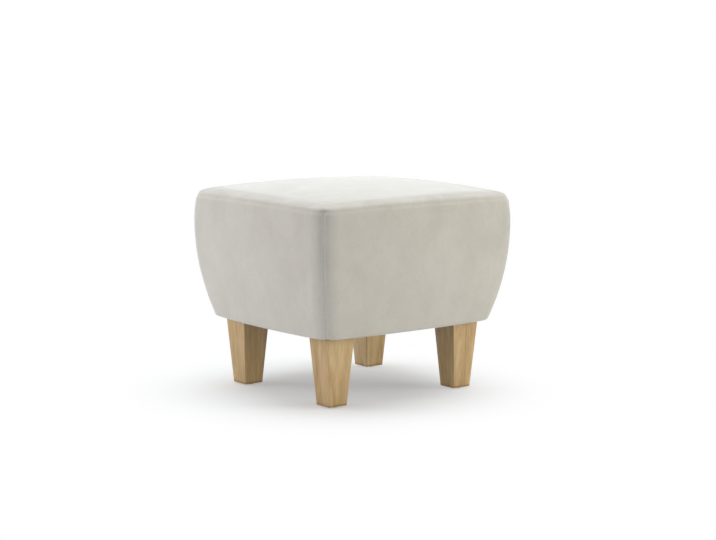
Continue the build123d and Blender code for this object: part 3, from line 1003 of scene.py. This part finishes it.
def make_dust_cover():
    """The non-woven cloth under the base board, stapled over the hem."""
    half_x = HEM_X + DUST_LAP
    half_y = HEM_Y + DUST_LAP
    across = np.linspace(-half_x, half_x, DUST_COLUMNS)
    along = np.linspace(-half_y, half_y, DUST_COLUMNS)
    x, y = np.meshgrid(across, along, indexing="ij")
    inside = np.minimum(HEM_X - np.abs(x), HEM_Y - np.abs(y))
    step = eased((inside - DUST_STEP_START) / DUST_STEP)
    ripple = np.array(
        [
            noise.noise(Vector((place_x * RIPPLE_SCALE, place_y * RIPPLE_SCALE, RIPPLE_PLACE)))
            for place_x, place_y in zip(x.flat, y.flat)
        ]
    )
    sag = SLACK_DEPTH * np.clip(inside / SLACK_REACH, 0, 1) * (1 + ripple.reshape(x.shape))
    level = DUST_LAP_LEVEL + (DUST_LEVEL - DUST_LAP_LEVEL) * step - sag
    points = np.stack([x, y, level], axis=-1).reshape(-1, 3)
    faces = []
    for face in grid_faces(DUST_COLUMNS, DUST_COLUMNS):
        middle = points[list(face)].mean(axis=0)
        if math.hypot(abs(middle[0]) - LEG_X, abs(middle[1]) - LEG_Y) > BOLT_CLEARANCE:
            faces.append(face)
    piece = mesh_object("dust_sheet", points, faces)
    thicken(piece, DUST_THICKNESS)
    finish_piece(piece, "dust_cloth", "dust_cover")


def dress_solids():
    """Procedural finishes on the solids that are carried over."""
    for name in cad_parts:
        node = bpy.data.objects.get(name)
        if node is None or node.hide_render:
            continue
        node.data.materials.clear()
        node.data.materials.append(MATERIALS[slot_of(name)])


# Camera, floor and light

def make_camera():
    """The camera at the photograph's viewing angle."""
    level_back = Vector((math.sin(CAMERA_TURN), -math.cos(CAMERA_TURN), 0))
    level_right = Vector((math.cos(CAMERA_TURN), math.sin(CAMERA_TURN), 0))
    back = level_back * math.cos(CAMERA_RISE) + Vector((0, 0, math.sin(CAMERA_RISE)))
    right = level_right * math.cos(CAMERA_ROLL) + back.cross(level_right) * math.sin(CAMERA_ROLL)
    up = back.cross(right)
    turn = Matrix((right, up, back)).transposed().to_4x4()
    data = bpy.data.cameras.new("camera")
    data.lens = CAMERA_LENS
    data.sensor_width = CAMERA_SENSOR
    data.sensor_fit = "HORIZONTAL"
    data.clip_end = CAMERA_FAR
    camera = bpy.data.objects.new("camera", data)
    camera.matrix_world = Matrix.Translation(CAMERA_PLACE) @ turn
    bpy.context.scene.collection.objects.link(camera)
    bpy.context.scene.camera = camera


def seen_directly(tree):
    """1 for what the camera, a mirror or glass sees, 0 for light on the object."""
    path = add_node(tree, "ShaderNodeLightPath")
    seen = math_of(tree, "MAXIMUM", path.outputs["Is Camera Ray"], path.outputs["Is Glossy Ray"])
    return math_of(tree, "MAXIMUM", seen, path.outputs["Is Transmission Ray"])


def make_floor():
    """A pale floor that keeps the shadow near the stool and turns plain white further off."""
    reach = FLOOR_REACH
    corners = [(-reach, -reach, 0), (reach, -reach, 0), (reach, reach, 0), (-reach, reach, 0)]
    floor = mesh_object("floor", corners, [(0, 1, 2, 3)])
    material, tree, shader = start_material(
        "floor", Base_Color=FLOOR_COLOUR, Roughness=1.0, Specular_IOR_Level=0.0
    )
    coordinate = add_node(tree, "ShaderNodeTexCoord")
    distance = add_node(tree, "ShaderNodeVectorMath", operation="DISTANCE")
    tree.links.new(coordinate.outputs["Object"], distance.inputs[0])
    distance.inputs[1].default_value = SHADE_MIDDLE
    spread = add_node(
        tree,
        "ShaderNodeMapRange",
        {"From Min": WHITE_FROM, "From Max": WHITE_BY, "To Min": WHITE_NEAR, "To Max": 1.0},
        interpolation_type="SMOOTHSTEP",
    )
    tree.links.new(distance.outputs["Value"], spread.inputs["Value"])
    glow = add_node(tree, "ShaderNodeEmission", {"Color": PLAIN_WHITE, "Strength": 1.0})
    mix = add_node(tree, "ShaderNodeMixShader")
    white = math_of(tree, "MULTIPLY", seen_directly(tree), spread.outputs["Result"])
    tree.links.new(white, mix.inputs["Fac"])
    tree.links.new(shader.outputs["BSDF"], mix.inputs[1])
    tree.links.new(glow.outputs["Emission"], mix.inputs[2])
    tree.links.new(mix.outputs["Shader"], tree.nodes["Material Output"].inputs["Surface"])
    floor.data.materials.append(material)


def make_world():
    """Soft light from all round, stronger overhead, and plain white behind everything."""
    world = bpy.data.worlds.new("studio")
    world.use_nodes = True
    bpy.context.scene.world = world
    tree = world.node_tree
    light = tree.nodes["Background"]
    light.inputs["Color"].default_value = SKY_COLOUR
    upward = axis_of(tree, add_node(tree, "ShaderNodeTexCoord").outputs["Generated"], "Z")
    tree.links.new(range_of(tree, upward, SKY_LOW, SKY_HIGH), light.inputs["Strength"])
    white = add_node(tree, "ShaderNodeBackground", {"Color": PLAIN_WHITE, "Strength": 1.0})
    mix = add_node(tree, "ShaderNodeMixShader")
    tree.links.new(seen_directly(tree), mix.inputs["Fac"])
    tree.links.new(light.outputs["Background"], mix.inputs[1])
    tree.links.new(white.outputs["Background"], mix.inputs[2])
    tree.links.new(mix.outputs["Shader"], tree.nodes["World Output"].inputs["Surface"])


def softbox(name, place, target, size, power, colour):
    """A soft rectangular lamp that faces a point."""
    data = bpy.data.lights.new(name, "AREA")
    data.shape = "RECTANGLE"
    data.size = size[0]
    data.size_y = size[1]
    data.energy = power
    data.color = colour
    lamp = bpy.data.objects.new(name, data)
    lamp.location = place
    lamp.rotation_euler = (Vector(target) - Vector(place)).to_track_quat("-Z", "Y").to_euler()
    bpy.context.scene.collection.objects.link(lamp)


def make_lamps():
    """A softbox on each side of the view and one overhead."""
    toward_left = Vector((-1, 1, 0)).normalized() * LAMP_DISTANCE
    height = Vector((0, 0, LAMP_HEIGHT))
    softbox("lamp_left", height + toward_left, LAMP_TARGET, LAMP_SIZE, LEFT_POWER, LEFT_COLOUR)
    softbox("lamp_right", height - toward_left, LAMP_TARGET, LAMP_SIZE, RIGHT_POWER, RIGHT_COLOUR)
    softbox("lamp_top", TOP_PLACE, TOP_TARGET, TOP_SIZE, TOP_POWER, TOP_COLOUR)


make_pads(cover_tree(make_covers()))
make_dust_cover()
dress_solids()
make_camera()
make_floor()
make_world()
make_lamps()

bpy.context.scene.view_settings.view_transform = "Standard"

bpy.context.view_layer.update()
